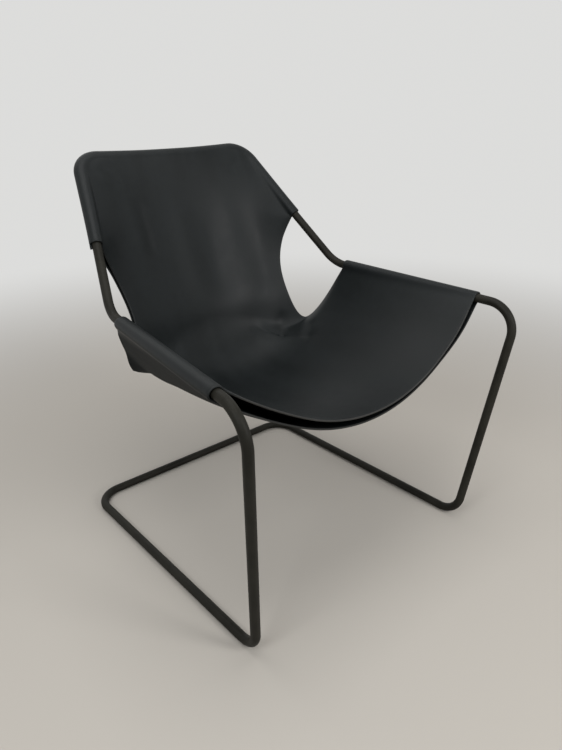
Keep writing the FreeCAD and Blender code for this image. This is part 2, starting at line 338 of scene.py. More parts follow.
def hangAcross(start, slope, depth, distance):
    # half of a hanging section as two tangent arcs: from the edge at (start, 0), where it leaves at
    # the slope, to (0, depth), where it is level. Distance runs along it from the edge.
    cosine, sine = np.cos(slope), np.sin(slope)
    spanSquare = start ** 2 + depth ** 2
    reachTerm = 2 * (start * (1 + cosine) + depth * sine)
    root = np.sqrt(reachTerm ** 2 + 8 * (1 - cosine) * spanSquare)
    reach = 2 * spanSquare / (root + reachTerm)
    jointX = (start - cosine * reach + reach) / 2
    jointY = (sine * reach + depth) / 2
    passing = np.arctan2(depth - sine * reach, start - cosine * reach - reach)
    turns = slope - passing, passing
    chords = np.hypot(start - jointX, jointY), np.hypot(jointX, depth - jointY)
    lengths = [chord / np.sinc(turn / 2 / math.pi) for chord, turn in zip(chords, turns)]
    first = np.minimum(distance, lengths[0])
    second = np.clip(distance - lengths[0], 0, lengths[1])
    sweep = turns[0] * first / lengths[0] / 2
    run = first * np.sinc(sweep / math.pi)
    x = start - run * np.cos(slope - sweep)
    y = run * np.sin(slope - sweep)
    sweep = turns[1] * second / lengths[1] / 2
    run = second * np.sinc(sweep / math.pi)
    return x - run * np.cos(passing - sweep), y + run * np.sin(passing - sweep)


def hangLength(start, slope, depth):
    # length of half a section, as the sum of short steps that go on past its end
    longest = 1.0
    stepCount = 400
    distance = np.linspace(0, longest, stepCount)[:, None] + 0 * start
    x, y = hangAcross(start, slope, depth, distance)
    return np.linalg.norm(np.diff(np.stack([x, y]), axis=1), axis=0).sum(0)


def spacedRows(length, cutAtStart):
    # distances along a run: even steps, with the close lines of a cut edge at the end and, where there
    # is one, at the start
    low = rimOffsets[-1] if cutAtStart else 0
    even = np.linspace(low, length - rimOffsets[-1], int(length / sling["rowStep"]))
    start = rimOffsets[:-1] if cutAtStart else []
    return np.concatenate([start, even, length - rimOffsets[-2::-1]])


def hoodRows(line, side):
    # rows from the start of the top bend round it and down the upright to the mouth
    bendLength = topArc["radius"] * topArc["turn"]
    upright = np.linalg.norm(rightMouth - topEnd)
    distance = spacedRows(bendLength + upright, False)
    spokes = turned(topArc["spoke"], topArc["axis"], topArc["turn"] * np.clip(distance / bendLength, 0, 1))
    bar = topArc["centre"] + spokes - upRight * np.maximum(distance - bendLength, 0)[:, None]
    outward = unit(spokes)
    mark = mouthMark * ((bar - topStart) @ downSlope) / ((rightMouth - topStart) @ downSlope)
    centre = line(mark)
    flattest, fullest = sling["hoodFullness"]
    fullness = flattest + (fullest - flattest) * ease(mark / mouthMark)
    depth = (level(bar) - centre) @ forward
    slope = np.degrees(fullness * np.arctan2(depth + side * sheetRadius, bar[:, 0]))
    pinched = topAngle + (uprightAngle - topAngle) * ease(distance / (2 * bendLength))
    leaving = slope * ease(distance / bendLength) + side * pinched
    edge = wallPoint(bar, outward, forward, leaving)
    return {"bar": bar, "outward": outward, "upward": forward + 0 * bar, "leaving": leaving, "edge": edge,
            "centre": centre, "fullness": fullness, "mark": mark, "distance": distance,
            "rim": 1 - ease((distance[-1] - distance) / sling["rimRun"])}


def seatRows(line, side):
    # rows along the seat rails, from the rear mouth of the sleeve to the front edge
    setback = sling["rearSetback"] if side < 0 else 0
    pinch = sling["underPinch"] if side < 0 else sling["seatPinch"]
    length = sling["seatSleeve"] - setback
    distance = spacedRows(length, True)
    share = distance / length
    bar = railStart + railWay * distance[:, None]
    mark = rearMark + (frontMark - setback - rearMark) * share
    centre = line(mark)
    atRear, atFront = sling["seatFullness"]
    fullness = atRear + (atFront - atRear) * share
    depth = (level(bar) - centre) @ railUpward
    slope = np.degrees(fullness * np.arctan2(depth + side * sheetRadius, bar[:, 0]))
    leaving = slope + side * (90 + pinch)
    edge = wallPoint(bar, railOutward, railUpward, leaving)
    return {"bar": bar, "outward": railOutward + 0 * bar, "upward": railUpward + 0 * bar, "leaving": leaving,
            "edge": edge, "centre": centre, "fullness": fullness, "mark": mark, "distance": distance,
            "rim": 1 - ease(distance / sling["rimRun"])}


def waistRows(mouthEdge, rearEdge):
    # rows of the front sheet between the sleeves, along the cut edge
    cutLine = splineThrough(np.concatenate([[mouthEdge], waistPoints, [rearEdge]]), marks[2:-2])
    rowCount = int((rearMark - mouthMark) / sling["rowStep"]) + sling["extraWaistRows"]
    mark = np.linspace(mouthMark, rearMark, rowCount)[1:-1]
    fullest, flattest = sling["hoodFullness"][1], sling["waistFullness"]
    fullness = fullest + (flattest - fullest) * ease((mark - mouthMark) / sling["fullRun"])
    return {"edge": cutLine(mark), "centre": frontLine(mark), "mark": mark,
            "fullness": fullness, "rim": np.ones(len(mark))}


def hungGrid(rows, sagBlend):
    # points of every row from its right edge to its left one. A row hangs from its edges by two arcs a
    # side, the way it sags. Near a cut edge the first columns lie at the rim offsets, elsewhere at even
    # steps.
    edge, centre = rows["edge"], rows["centre"]
    origin = level(edge)
    reach = centre - origin
    sag = unit(unit(reach + notZero) * (1 - sagBlend[:, None]) - forward * sagBlend[:, None])
    depth = np.maximum((reach * sag).sum(1), smallStep)
    slide = reach - sag * depth[:, None]
    slope = rows["fullness"] * np.arctan2(depth, edge[:, 0])
    length = hangLength(edge[:, 0], slope, depth)
    count = sling["columns"]
    even = np.linspace(0, 1, count)[None, :] * length[:, None]
    close = len(rimOffsets)
    rimmed = np.concatenate([
        np.broadcast_to(rimOffsets, (len(length), close)),
        rimOffsets[-1] + (length[:, None] - rimOffsets[-1]) * np.linspace(0, 1, count - close + 1)[None, 1:],
    ], axis=1)
    distance = even + (rimmed - even) * rows["rim"][:, None]
    x, y = hangAcross(edge[:, :1], slope[:, None], depth[:, None], distance)
    x[:, -1] = 0
    half = origin[:, None] + across * x[..., None] + sag[:, None] * y[..., None]
    half += slide[:, None] * (1 - (x / edge[:, :1]) ** 2)[..., None]
    half[:, 0] = edge
    return np.concatenate([half, half[:, -2::-1] * flip], axis=1)


def gridNormals(grid):
    # towards the sitter: across the row crossed with down the sheet
    down = np.gradient(grid, axis=0)
    over = np.gradient(grid, axis=1)
    return unit(np.cross(over, down))


def insetAlong(row):
    # distance of every point of a row, along it, from the nearer of its two ends
    over = np.concatenate([[0], np.cumsum(np.linalg.norm(np.diff(row, axis=0), axis=1))])
    return np.minimum(over, over[-1] - over)


def softCrossing(grid, row, mostReach):
    # every column crosses the row on one cubic, from a point before it to a point after it. The reach
    # of the cubic is nothing at the two edges and grows inwards to the most.
    steps = np.linalg.norm(np.diff(grid, axis=0), axis=2).mean(1)
    along = np.concatenate([[0], np.cumsum(steps)]) - steps[:row].sum()
    slopes = np.gradient(grid, along, axis=0)
    inset = insetAlong(grid[row])
    reach = mostReach * (1 - np.exp(-sling["reachGrowth"] * inset / mostReach))
    reach = np.maximum(reach, leastReach)
    columns = np.arange(grid.shape[1])
    ends = []
    for way in (-1, 1):
        place = np.interp(way * reach, along, np.arange(len(along)))
        k = np.minimum(place.astype(int), len(along) - 2)
        t = (place - k)[:, None]
        ends += [values[k, columns] * (1 - t) + values[k + 1, columns] * t for values in (grid, slopes)]
    start, startSlope, end, endSlope = ends
    span = 2 * reach[None, :, None]
    t = np.clip((along[:, None, None] + reach[None, :, None]) / span, 0, 1)
    cubic = (start * (1 + 2 * t) * (1 - t) ** 2 + startSlope * span * t * (1 - t) ** 2
             + end * t * t * (3 - 2 * t) + endSlope * span * t * t * (t - 1))
    return np.where((t > 0) & (t < 1) & (inset > 0)[None, :, None], cubic, grid)


def wrapStrip(edge, rows, side, swell):
    # sleeve wall from the edge of the hung sheet round the bar to the seam, outermost on the bar
    leaving = rows["leaving"][:, None]
    last = side * math.degrees(sling["seamGap"] / 2 / sheetRadius)
    rim = side * np.degrees(rimOffsets[-2::-1] / sheetRadius)
    share = np.linspace(0, 1, sling["wrapColumns"])[None, :]
    seamSide = last + side * math.degrees(rimOffsets[-1] / sheetRadius)
    even = leaving + (seamSide - leaving) * share
    angles = np.concatenate([even, np.broadcast_to(last + rim, (len(leaving), len(rim)))], axis=1)
    swell = np.broadcast_to(swell, len(leaving))[:, None, None]
    bar, outward, upward = (rows[name][:, None] for name in ("bar", "outward", "upward"))
    strip = wallPoint(bar, outward, upward, angles, swell)
    strip[:, 0] = edge
    return strip


def gridQuads(rows, columns):
    numbers = np.arange(rows * columns).reshape(rows, columns)
    quads = np.stack([numbers[:-1, :-1], numbers[1:, :-1], numbers[1:, 1:], numbers[:-1, 1:]], -1)
    return quads.reshape(-1, 4)


def welded(grids):
    # grids that share their border points, as one mesh
    points, quads, start = [], [], 0
    for grid, turnedOver in grids:
        faces = gridQuads(*grid.shape[:2])
        quads.append((faces[:, ::-1] if turnedOver else faces) + start)
        points.append(grid.reshape(-1, 3))
        start += grid.shape[0] * grid.shape[1]
    points = np.concatenate(points)
    quads = np.concatenate(quads)
    rounded = np.round(points, weldDigits)
    first, numbers = np.unique(rounded, axis=0, return_index=True, return_inverse=True)[1:]
    return points[first], numbers.reshape(-1)[quads]


def edgesOf(quads):
    # every edge once, and the edges that belong to one face only, as that face goes round
    pairs = np.concatenate([quads[:, [k, (k + 1) % 4]] for k in range(4)])
    ordered = np.sort(pairs, axis=1)
    edges, numbers, uses = np.unique(ordered, axis=0, return_inverse=True, return_counts=True)
    return edges, pairs[uses[numbers.reshape(-1)] == 1]


def pointNormals(points, quads):
    # sum of the normals of the faces round a point
    corners = points[quads]
    faces = np.cross(corners[:, 2] - corners[:, 0], corners[:, 3] - corners[:, 1])
    normals = np.zeros_like(points)
    for k in range(4):
        np.add.at(normals, quads[:, k], faces)
    return unit(normals)


def nearest(points, others):
    # distance from each point to the nearest of the others, a batch at a time to save memory
    batch = 500
    parts = [np.linalg.norm(points[k:k + batch, None] - others[None], axis=2).min(1)
             for k in range(0, len(points), batch)]
    return np.concatenate(parts)


def softened(points, quads, line, width, turns):
    # in every turn a point moves up to half way to the middle of its neighbours: most on the line, less
    # beside it by a bell of the given width, and not at all on a border
    edges, rim = edgesOf(quads)
    weights = 0.5 * np.exp(-(nearest(points, line) / width) ** 2)
    weights[np.unique(rim)] = 0
    count = np.bincount(edges.reshape(-1), minlength=len(points))
    for turn in range(turns):
        total = np.zeros_like(points)
        np.add.at(total, edges[:, 0], points[edges[:, 1]])
        np.add.at(total, edges[:, 1], points[edges[:, 0]])
        points = points + (total / count[:, None] - points) * weights[:, None]
    return points


def thickLeather(points, quads, onSeam):
    # both faces of the leather about its middle, drawn together to a round lip at every free edge and
    # closed square along the seam; also the distance of every point from the free edges, 1 if far
    half = sling["thickness"] / 2
    edges, rim = edgesOf(quads)
    border = np.unique(rim)
    sewn = np.bincount(rim[onSeam[rim].all(1)].reshape(-1), minlength=len(points)) == 2
    free = border[~sewn[border]]
    near = np.zeros(len(points), bool)
    near[free] = True
    for ring in range(len(rimOffsets) + 1):
        near[edges[near[edges].any(1)].reshape(-1)] = True
    distance = np.ones(len(points))
    distance[near] = nearest(points[near], points[free])
    lift = half * np.sqrt(1 - (1 - np.clip(distance / half, 0, 1)) ** 2)
    normals = pointNormals(points, quads) * lift[:, None]
    under = np.arange(len(points)) + len(points)
    under[free] = free
    both = np.concatenate([points + normals, points - normals])
    faces = np.concatenate([quads, under[quads][:, ::-1]])
    start, end = rim.T
    walls = np.stack([end, start, under[start], under[end]], 1)[sewn[start] & sewn[end]]
    seamEnds = np.stack([end, start, under[start]], 1)[sewn[start] & ~sewn[end]]
    seamStarts = np.stack([end, start, under[end]], 1)[~sewn[start] & sewn[end]]
    corners = np.concatenate([seamEnds, seamStarts])
    used = np.unique(faces)
    numbers = np.zeros(len(both), int)
    numbers[used] = np.arange(len(used))
    distance = np.concatenate([distance, distance])
    return both[used], numbers[np.concatenate([faces, walls])], numbers[corners], distance[used]


def eased(lastHood, waistGrid, firstSeat):
    # the rear sheet's waist, drawn to the last row of its hood and the first row of its seat
    spacing = np.linalg.norm(np.diff(waistGrid[:, sling["columns"] - 1], axis=0), axis=1)
    along = np.concatenate([[0], np.cumsum(spacing)])
    fromHood = (1 - ease(along / sling["rearHoodRun"]))[:, None, None]
    fromSeat = (1 - ease((along[-1] - along) / sling["rearSeatRun"]))[:, None, None]
    firstRow = 2 * waistGrid[0] - waistGrid[1]
    lastRow = 2 * waistGrid[-1] - waistGrid[-2]
    return waistGrid + (lastHood - firstRow) * fromHood + (firstSeat - lastRow) * fromSeat


def drawnForward(seat, seatGrid):
    # the rear sheet's front edge, drawn on along the rails to the mouths of the sleeves and less by a
    # bell away from them; also how far every row is drawn
    fromFront = seat["distance"][-1] - seat["distance"]
    by = (sling["rearSetback"] * ease(1 - fromFront / sling["drawnRun"]))[:, None, None]
    inset = insetAlong(seatGrid[-1])
    ways = np.where(np.arange(len(inset))[:, None] < sling["columns"], railWay, railWay * flip)
    return seatGrid + by * ways * np.exp(-(inset / sling["drawnReach"]) ** 2)[:, None], by


def topRail(side):
    # the top rail at every column of the hood, from right to left
    halfShares = np.abs(np.linspace(1, -1, 2 * sling["columns"] - 1))
    rail = dipPoints(halfShares)
    rail[sling["columns"]:] = rail[sling["columns"] - 2::-1] * flip
    ways = unit(np.gradient(rail, axis=0))
    outward = np.cross(forward, ways)
    outward *= np.sign(-(outward @ downSlope))[:, None]
    return {"bar": rail, "outward": outward, "upward": forward + 0 * rail, "halfShares": halfShares,
            "leaving": np.full(len(rail), side * topAngle)}


def hoodStrip(hood, hoodGrid, top, side):
    # sleeve wall up the right upright, over the top rail and down the left upright. The rear one has
    # a flap at its mouths, and all swell towards the seam.
    swell = sling["seamSwell"]
    downShare = ease(hood["distance"] / hood["distance"][-1])
    downSwell = swell["bend"] + (swell["mouth"] - swell["bend"]) * downShare
    right = wrapStrip(hoodGrid[:, 0], hood, side, downSwell)
    if side < 0:
        rowShare = ease(1 - (hood["distance"][-1] - hood["distance"]) / sling["flapRun"])
        seamShare = ease(np.linspace(0, 1, right.shape[1]))
        right = right - upRight * (sling["rearFlap"] * rowShare[:, None] * seamShare)[..., None]
    left = right * flip
    left[:, 0] = hoodGrid[:, -1]
    topSwell = swell["top"] + (swell["bend"] - swell["top"]) * ease(top["halfShares"])
    over = wrapStrip(hoodGrid[0], top, side, topSwell)
    over[0] = right[0]
    over[-1] = left[0]
    return np.concatenate([right[:0:-1], over, left[1:]])


def sheetMiddle(hood, waistGrid, seat, side):
    # the whole middle surface of one sheet, hung part and sleeves, softened where it leaves the bar;
    # also which of its points are on the seam
    top = topRail(side)
    topRow = wallPoint(top["bar"], top["outward"], top["upward"], top["leaving"])
    hoodGrid = hungGrid(hood, np.ones(len(hood["mark"])))
    fade = 1 - ease(hood["distance"] / sling["topRun"])
    hoodGrid += (topRow - hoodGrid[0])[None] * fade[:, None, None]
    seatGrid = hungGrid(seat, np.zeros(len(seat["mark"])))
    drawnBy = 0
    if side < 0:
        waistGrid = eased(hoodGrid[-1], waistGrid, seatGrid[0])
        seatGrid, drawnBy = drawnForward(seat, seatGrid)
    hung = np.concatenate([hoodGrid, waistGrid, seatGrid])
    hung = softCrossing(hung, len(hoodGrid) - 1, sling["mouthReach"])
    flankRow = len(hoodGrid) + int(len(waistGrid) * (flankMark - mouthMark) / (rearMark - mouthMark))
    hung = softCrossing(hung, flankRow, sling["flankReach"])
    hung = softCrossing(hung, len(hoodGrid) + len(waistGrid), sling["seatReach"])

    overHood = hoodStrip(hood, hoodGrid, top, side)
    rightSeat = wrapStrip(seatGrid[:, 0], seat, side, sling["seamSwell"]["seat"])
    rightSeat[:, 1:] += drawnBy * railWay
    leftSeat = rightSeat * flip
    leftSeat[:, 0] = seatGrid[:, -1]
    points, quads = welded([(hung, True), (overHood, True), (rightSeat, False), (leftSeat, True)])

    leavingLine = np.concatenate([hoodGrid[:, 0], hoodGrid[:, -1], hoodGrid[0],
                                  seatGrid[:, 0], seatGrid[:, -1]])
    points = softened(points, quads, leavingLine, sling["softLine"], sling["softTurns"])
    if side < 0:
        count = sling["flankColumns"]
        flank = np.concatenate([seatGrid[0, :count], seatGrid[0, -count:]])
        points = softened(points, quads, flank, sling["flankSoft"], sling["flankTurns"])
    seam = np.concatenate([overHood[:, -1], rightSeat[:, -1], leftSeat[:, -1]])
    border = np.unique(edgesOf(quads)[1])
    onSeam = np.zeros(len(points), bool)
    onSeam[border] = nearest(points[border], seam) < samePoint
    return points, quads, onSeam


def frontSheetRows():
    # rows of the front sheet's hood and seat, the grid of its waist, and the normals of that grid
    hood = hoodRows(frontLine, 1)
    seat = seatRows(frontLine, 1)
    waist = waistRows(hood["edge"][-1], seat["edge"][0])
    sagBlend = 1 - ease((waist["mark"] - mouthMark) / sling["sagRun"])
    waistGrid = hungGrid(waist, sagBlend)
    hoodGrid = hungGrid(hood, np.ones(len(hood["mark"])))
    seatGrid = hungGrid(seat, np.zeros(len(seat["mark"])))
    normals = gridNormals(np.concatenate([hoodGrid, waistGrid, seatGrid]))
    normals = normals[len(hoodGrid):len(hoodGrid) + len(waistGrid)]
    return hood, waistGrid, seat, normals


# Soft folds of the leather, the same in both sheets: a line on the sling, how far the leather stands
# out towards the sitter along it, and the half width of the swelling
folds = [
    {"from": (-0.120, 0.314, 0.742), "to": (-0.110, 0.268, 0.590), "height": -0.0014, "width": 0.013},
    {"from": (-0.148, 0.312, 0.745), "to": (-0.136, 0.270, 0.600), "height": 0.0015, "width": 0.019},
    {"from": (-0.015, 0.322, 0.745), "to": (-0.005, 0.232, 0.460), "height": 0.0017, "width": 0.030},
    {"from": (0.060, 0.305, 0.690), "to": (0.060, 0.225, 0.460), "height": -0.0015, "width": 0.026},
    {"from": (0.138, 0.318, 0.765), "to": (0.112, 0.195, 0.400), "height": 0.0040, "width": 0.042},
    {"from": (0.195, 0.275, 0.670), "to": (0.172, 0.200, 0.450), "height": -0.0014, "width": 0.024},
    {"from": (0.206, 0.186, 0.428), "to": (0.154, 0.132, 0.369), "height": -0.0026, "width": 0.015},
    {"from": (0.245, 0.110, 0.417), "to": (0.178, 0.072, 0.373), "height": -0.0026, "width": 0.015},
    {"from": (-0.206, 0.186, 0.428), "to": (-0.154, 0.132, 0.369), "height": -0.0012, "width": 0.014},
    {"from": (-0.245, 0.110, 0.417), "to": (-0.178, 0.072, 0.373), "height": -0.0012, "width": 0.014},
    {"from": (-0.194, 0.339, 0.808), "to": (-0.145, 0.316, 0.755), "height": -0.0008, "width": 0.012},
    {"from": (0.194, 0.339, 0.808), "to": (0.150, 0.318, 0.762), "height": -0.0014, "width": 0.012},
    {"from": (-0.371, -0.288, 0.530), "to": (-0.330, -0.292, 0.530), "height": 0.0010, "width": 0.007},
    {"from": (-0.369, -0.270, 0.530), "to": (-0.330, -0.262, 0.530), "height": 0.0008, "width": 0.008},
]

# Share of a fold's length over which each end of it fades, and how far before and behind it still shows
foldEnd = 0.3
foldThrough = 0.03

# How far the rear and the front mouth of each seat sleeve have slipped along the rail, and how far from
# the rail that still shows
slips = {"left": (0.016, 0.006), "right": (-0.006, -0.010), "reach": 0.080}


def foldLift(points, normals, fold):
    # height of one fold: a bell across its line, eased to nothing at its ends
    start = np.array(fold["from"])
    line = np.array(fold["to"]) - start
    share = np.clip((points - start) @ line / (line @ line), 0, 1)
    away = points - start - share[:, None] * line
    through = (away * normals).sum(1)
    sideways = np.linalg.norm(away - normals * through[:, None], axis=1)
    bell = np.exp(-(sideways / fold["width"]) ** 2 - (through / foldThrough) ** 2)
    return fold["height"] * bell * ease(share / foldEnd) * ease((1 - share) / foldEnd)


def lived(points, quads):
    # the points of a sheet, moved for its folds and for the slip of its seat sleeves
    normals = pointNormals(points, quads)
    normals = normals * np.sign(normals @ towardsSitter)[:, None]
    lift = sum(foldLift(points, normals, fold) for fold in folds)
    points = points + normals * lift[:, None]
    for mirror, (rearSlip, frontSlip) in ((flip, slips["left"]), (np.ones(3), slips["right"])):
        start, way = railStart * mirror, railWay * mirror
        along = np.clip((points - start) @ way, 0, sling["seatSleeve"])
        away = np.linalg.norm(points - start - along[:, None] * way, axis=1)
        by = rearSlip + (frontSlip - rearSlip) * along / sling["seatSleeve"]
        points = points + way * (by * np.exp(-(away / slips["reach"]) ** 2))[:, None]
    return points


def meshPiece(name, points, faces, material):
    # smooth mesh object at the origin
    mesh = bpy.data.meshes.new(name)
    mesh.from_pydata(points, [], faces)
    mesh.shade_smooth()
    mesh.materials.append(material)
    piece = bpy.data.objects.new(name, mesh)
    bpy.context.scene.collection.objects.link(piece)
    return piece


def leatherPiece(name, points, quads, onSeam, material):
    # one sheet as it hangs, with the distance from the free edges kept for its finish
    points, faces, corners, edgeDistance = thickLeather(lived(points, quads) + shift, quads, onSeam)
    piece = meshPiece(name, points.tolist(), faces.tolist() + corners.tolist(), material)
    distances = piece.data.attributes.new("edgeDistance", "FLOAT", "POINT")
    distances.data.foreach_set("value", edgeDistance)
    piece.data.set_sharp_from_angle(angle=math.radians(sling["sharpAngle"]))
    diagonals = points[faces[:, 2:]] - points[faces[:, :2]]
    area = np.linalg.norm(np.cross(diagonals[:, 0], diagonals[:, 1]), axis=1).sum() / 4
    print(name, len(points), "points", len(faces) * 2, "triangles, cut area", round(area, 4), "m2")
    return piece


# Finishes

class Wire:
    # a shader socket; arithmetic on it adds Math nodes
    def __init__(self, finish, socket):
        self.finish = finish
        self.socket = socket

    def math(self, operation, first, second):
        return self.finish.add("ShaderNodeMath", {"operation": operation}, {0: first, 1: second})

    def __add__(self, other):
        return self.math("ADD", self, other)

    def __sub__(self, other):
        return self.math("SUBTRACT", self, other)

    def __rsub__(self, other):
        return self.math("SUBTRACT", other, self)

    def __mul__(self, other):
        return self.math("MULTIPLY", self, other)

    __radd__ = __add__


class Finish:
    # a material with its shader, and one method that adds any node
    def __init__(self, name, **constants):
        self.material = bpy.data.materials.new(name)
        self.material.use_nodes = True
        self.tree = self.material.node_tree
        self.shader = self.tree.nodes["Principled BSDF"]
        for socket, value in constants.items():
            self.shader.inputs[socket.replace("_", " ")].default_value = value

    def add(self, kind, settings=None, inputs=None, output=0):
        node = self.tree.nodes.new(kind)
        for name, value in (settings or {}).items():
            setattr(node, name, value)
        for socket, value in (inputs or {}).items():
            self.put(node.inputs[socket], value)
        return Wire(self, node.outputs[output])

    def put(self, socket, value):
        if isinstance(value, Wire):
            self.tree.links.new(value.socket, socket)
        else:
            socket.default_value = value

    def feed(self, **values):
        for socket, value in values.items():
            self.put(self.shader.inputs[socket.replace("_", " ")], value)

    def place(self):
        return self.add("ShaderNodeTexCoord", output="Object")

    def noise(self, scale, detail, roughness, place=None):
        return self.add("ShaderNodeTexNoise", {}, {"Vector": place or self.place(), "Scale": scale,
                                                   "Detail": detail, "Roughness": roughness})

    def between(self, share, first, second):
        # colour between two colours
        return self.add("ShaderNodeMix", {"data_type": "RGBA"}, {0: share, 6: first, 7: second}, output=2)

    def stepped(self, value, low, high):
        # 0 to 1 between two values, eased
        return self.add("ShaderNodeMapRange", {"interpolation_type": "SMOOTHSTEP"},
                        {"Value": value, "From Min": low, "From Max": high})


# Finish of the leather. Lengths are in metres, a noise is its scale, detail and roughness, limits are
# where a change begins and where it is complete, and the streaks draw their noise out along each axis.
leatherFinish = {
    "dark": (0.0054, 0.0070, 0.0074, 1),
    "light": (0.0094, 0.0117, 0.0123, 1),
    # lighter edge colour: partly burnish, partly a painted highlight along the seat's front edge
    "burnishedHighlightColour": (0.040, 0.039, 0.037, 1),
    "streaks": (14.0, 3.0, 3.0),
    "streakNoise": (1.0, 3.0, 0.5),
    "mottleNoise": (55.0, 3.0, 0.6),
    "streakShare": 0.7,
    "toneLimits": (0.30, 0.70),
    "grainSize": 0.0016,
    "grainSmoothness": 0.4,
    "grainDepth": 0.00028,
    "grainStrength": 0.35,
    "grainWeight": 0.8,
    "poreNoise": (1500.0, 2.0, 0.5),
    "poreWeight": 0.35,
    "roughness": (0.42, 0.52),
    "frontLimits": (-0.30, -0.10),
    "sideLimits": (0.30, 0.33),
    "lipLimits": (0.0008, 0.0022),
    "lipElsewhere": 0.15,
    "lipSmoothed": 0.08,
    "creaseInset": 0.0056,
    "creaseLimits": (0.0002, 0.0010),
    "creaseWeight": 2.0,
    # shares of the lighter colour, burnish and painted highlight together, on the tooled line and the lip
    "creaseBurnishAndHighlight": 0.3,
    "burnishAndHighlight": (0.45, 0.6),
    "polish": 0.20,
    "dullLimits": (0.51, 0.54),
    "dulled": 0.0,
}
backFinish = dict(leatherFinish, polish=0.13, dulled=0.24)


def blackLeather(name, spec):
    # drawn streaks and mottling under a fine grain; the front edge has a lip and a tooled line painted
    # lighter, partly burnish and partly a painted highlight that is kept to the seat's front edge
    finish = Finish(name, Specular_IOR_Level=spec["polish"])
    place = finish.place()
    aside, depth, height = (finish.add("ShaderNodeSeparateXYZ", {}, {0: place}, output=k) for k in "XYZ")
    streaked = finish.add("ShaderNodeMapping", {}, {"Vector": place, "Scale": spec["streaks"]})
    drawn = finish.noise(*spec["streakNoise"], streaked)
    mottled = finish.noise(*spec["mottleNoise"])
    tone = drawn * spec["streakShare"] + mottled * (1 - spec["streakShare"])
    tone = finish.stepped(tone, *spec["toneLimits"])

    edge = finish.add("ShaderNodeAttribute", {"attribute_name": "edgeDistance"}, output="Fac")
    # the front and inside masks keep the painted highlight on the lip and the tooled line to the seat's
    # front edge; other free edges get only a small share of it
    front = 1 - finish.stepped(depth, *spec["frontLimits"])
    inside = 1 - finish.stepped(aside.math("ABSOLUTE", aside, 0), *spec["sideLimits"])
    elsewhere = spec["lipElsewhere"]
    lip = (1 - finish.stepped(edge, *spec["lipLimits"])) * (front * inside * (1 - elsewhere) + elsewhere)
    fromCrease = edge.math("ABSOLUTE", edge - spec["creaseInset"], 0)
    crease = (1 - finish.stepped(fromCrease, *spec["creaseLimits"])) * front * inside

    # lighter colour of the lip and the tooled line, partly burnish and partly painted highlight, varied by
    # the mottling
    least, mottling = spec["burnishAndHighlight"]
    burnishAndHighlight = (lip + crease * spec["creaseBurnishAndHighlight"]) * (least + mottled * mottling)
    colour = finish.between(tone, spec["dark"], spec["light"])
    colour = finish.between(burnishAndHighlight, colour, spec["burnishedHighlightColour"])
    low, high = spec["roughness"]
    under = 1 - finish.stepped(height, *spec["dullLimits"])
    rough = tone * (high - low) + low - lip * spec["lipSmoothed"] + under * spec["dulled"]
    cells = finish.add("ShaderNodeTexVoronoi", {"feature": "SMOOTH_F1"},
                       {"Vector": place, "Scale": 1 / spec["grainSize"],
                        "Smoothness": spec["grainSmoothness"]})
    pores = finish.noise(*spec["poreNoise"])
    grain = (1 - cells) * spec["grainWeight"] + pores * spec["poreWeight"] - crease * spec["creaseWeight"]
    bump = finish.add("ShaderNodeBump", {}, {"Strength": spec["grainStrength"],
                                             "Distance": spec["grainDepth"], "Height": grain})
    finish.feed(Base_Color=colour, Roughness=rough, Normal=bump)
    return finish.material


# Finish of the steel, in the same terms
steelFinish = {
    "dark": (0.0125, 0.0118, 0.0092, 1),
    "light": (0.0235, 0.0222, 0.0175, 1),
    "worn": (0.055, 0.052, 0.044, 1),
    "cloudNoise": (14.0, 4.0, 0.6),
    "crystalNoise": (900.0, 2.0, 0.6),
    "cloudShare": 0.7,
    "toneLimits": (0.35, 0.66),
    "scuffNoise": (38.0, 5.0, 0.7),
    "scuffLimits": (0.66, 0.78),
    "scuffShare": 0.35,
    "roughness": (0.42, 0.56),
    "polish": 0.11,
    "crystalDepth": 0.0001,
    "crystalStrength": 0.2,
}


def phosphatedSteel():
    # cloudy fine crystals, with a few worn scuffs
    spec = steelFinish
    finish = Finish("phosphated_steel", Specular_IOR_Level=spec["polish"])
    cloudy = finish.noise(*spec["cloudNoise"])
    crystals = finish.noise(*spec["crystalNoise"])
    tone = cloudy * spec["cloudShare"] + crystals * (1 - spec["cloudShare"])
    tone = finish.stepped(tone, *spec["toneLimits"])
    scuffs = finish.stepped(finish.noise(*spec["scuffNoise"]), *spec["scuffLimits"])
    colour = finish.between(tone, spec["dark"], spec["light"])
    colour = finish.between(scuffs * spec["scuffShare"], colour, spec["worn"])
    low, high = spec["roughness"]
    bump = finish.add("ShaderNodeBump", {}, {"Strength": spec["crystalStrength"],
                                             "Distance": spec["crystalDepth"], "Height": crystals})
    finish.feed(Base_Color=colour, Roughness=tone * (high - low) + low, Normal=bump)
    return finish.material


# Build the pieces. The shift puts the bar where the frame has it, and all else moves with it.

barPoints, barQuads = barSurface()
boxLow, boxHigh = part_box("frame_bar")
shift = np.array([0, (boxLow.y + boxHigh.y - barPoints[:, 1].min() - barPoints[:, 1].max()) / 2, 0])
bentBar = meshPiece("bent_bar", (barPoints + shift).tolist(), barQuads.tolist(), phosphatedSteel())
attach(bentBar, "root")
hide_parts("frame_bar")
print("bar built,", len(barQuads) * 2, "triangles, moved by", shift)

frontHide = blackLeather("black_leather", leatherFinish)
rearHide = blackLeather("black_leather_back", backFinish)
hood, waistGrid, seat, waistNormals = frontSheetRows()
frontSheet = leatherPiece("sling_front", *sheetMiddle(hood, waistGrid, seat, 1), frontHide)

rearLine = rearCentreLine()
rearWaist = waistGrid - waistNormals * (sling["thickness"] + sling["waistGap"])
rearMiddle = sheetMiddle(hoodRows(rearLine, -1), rearWaist, seatRows(rearLine, -1), -1)
rearSheet = leatherPiece("sling_rear", *rearMiddle, rearHide)

